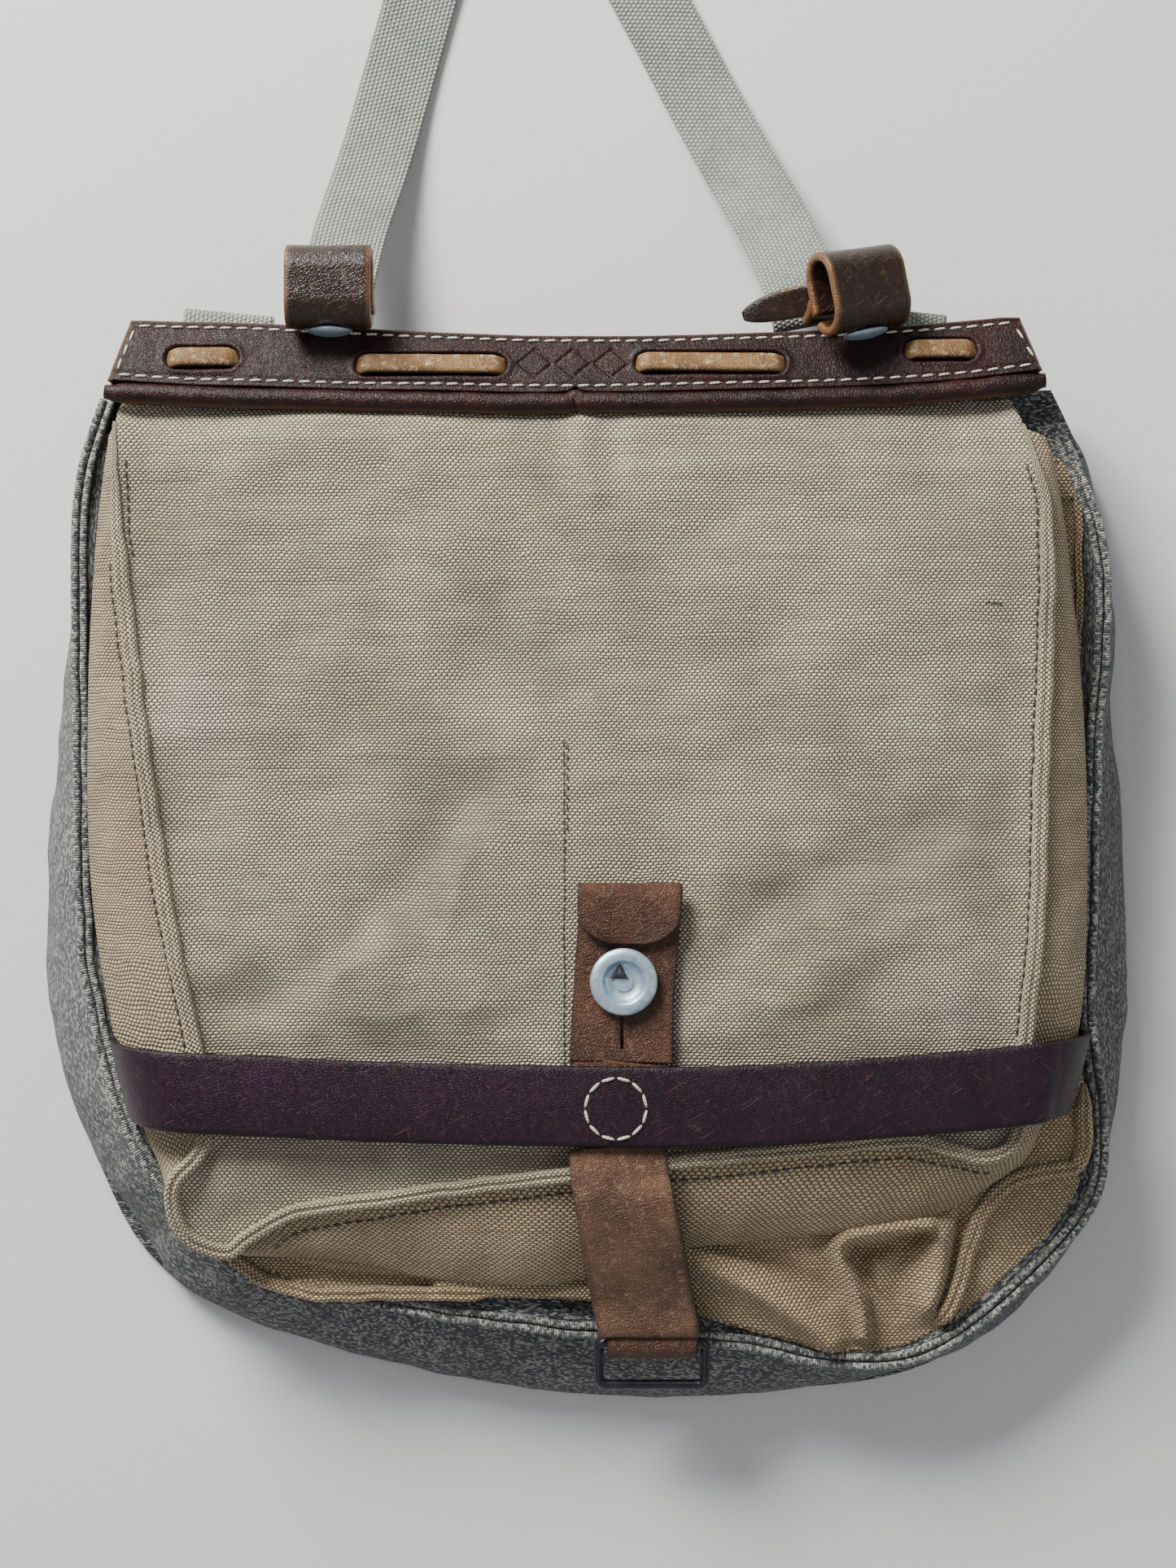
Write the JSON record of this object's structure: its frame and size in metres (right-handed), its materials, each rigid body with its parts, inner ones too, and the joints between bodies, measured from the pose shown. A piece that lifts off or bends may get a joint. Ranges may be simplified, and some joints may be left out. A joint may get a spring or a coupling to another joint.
{
  "type": "canvas haversack",
  "caption": "Canvas haversack with a grey cloth back bag, tan pouch and boxed flap, leather top bar, belt loops, cross strap, closing strap and webbing shoulder strap.",
  "frame": {"origin": "middle of the back panel's outer face, which lies on the floor", "axes": "+X to the right of the flap, +Y from the bag's bottom towards the top bar and shoulder strap, +Z out of the front of the flap"},
  "size_m": [0.354, 0.7198, 0.0652],
  "materials": {
    "grey_cloth": "salt and pepper twill, matt",
    "tan_canvas": "heavy canvas, matt, golden tan",
    "faded_canvas": "heavy canvas, matt, sun-faded tan",
    "dark_leather": "waxed, worn at the edges",
    "brown_leather": "creased vegetable-tanned leather, satin",
    "lace_leather": "pale rawhide lace, worn",
    "webbing": "woven cotton webbing, matt",
    "thread": "waxed linen thread",
    "bright_metal": "satin, slightly scratched",
    "black_metal": "black lacquer, satin"
  },
  "bodies": {
    "bag": {"back_panel": "grey_cloth", "gusset": "grey_cloth", "gusset_rim": "grey_cloth", "pouch_wall": "tan_canvas", "pouch_front": "tan_canvas", "pouch_seam": "tan_canvas", "bar_front": "dark_leather", "bar_back": "dark_leather", "bar_bead": "dark_leather", "lace_left": "lace_leather", "lace_right": "lace_leather", "cross_strap": "dark_leather", "strap_stitch_ring": "thread", "closure_strap": "brown_leather", "shoulder_strap": "webbing", "webbing_tab_left": "webbing", "webbing_tab_right": "webbing"},
    "flap": {"flap_face": "faded_canvas", "flap_wall": "faded_canvas", "flap_seam": "faded_canvas", "stud_head": "bright_metal", "stud_post": "bright_metal", "stud_washer": "bright_metal"},
    "closing_tab": {"closure_tab": "brown_leather", "tab_tongue": "brown_leather"},
    "closing_tail": {"closure_tail": "brown_leather", "chape": "brown_leather"},
    "ring": {"ring": "black_metal"},
    "loop_left": {"loop_left": "brown_leather", "loop_stud_left": "bright_metal"},
    "loop_right": {"loop_right": "brown_leather", "loop_stud_right": "bright_metal"}
  },
  "joints": [
    {"name": "flap_open", "type": "hinge", "parent": "bag", "child": "flap", "pos_m": [0, 0.1415, 0.0525], "axis": [-1, 0, 0], "range_deg": [0, 150]},
    {"name": "tab_lift", "type": "hinge", "parent": "bag", "child": "closing_tab", "pos_m": [0.011, -0.0607, 0.0616], "axis": [1, 0, 0], "range_deg": [0, 100], "deforming": ["closure_tab"]},
    {"name": "tail_lift", "type": "hinge", "parent": "bag", "child": "closing_tail", "pos_m": [0.0086, -0.0863, 0.0616], "axis": [-1, 0, 0], "range_deg": [0, 90]},
    {"name": "ring_swing", "type": "hinge", "parent": "closing_tail", "child": "ring", "pos_m": [0.0203, -0.1515, 0.0394], "axis": [-1, 0, 0], "range_deg": [0, 115]},
    {"name": "loop_left_tilt", "type": "hinge", "parent": "bag", "child": "loop_left", "pos_m": [-0.081, 0.175, 0.0365], "axis": [1, 0, 0], "range_deg": [-25, 4]},
    {"name": "loop_right_tilt", "type": "hinge", "parent": "bag", "child": "loop_right", "pos_m": [0.084, 0.175, 0.0365], "axis": [1, 0, 0], "range_deg": [-25, 4]}
  ]
}
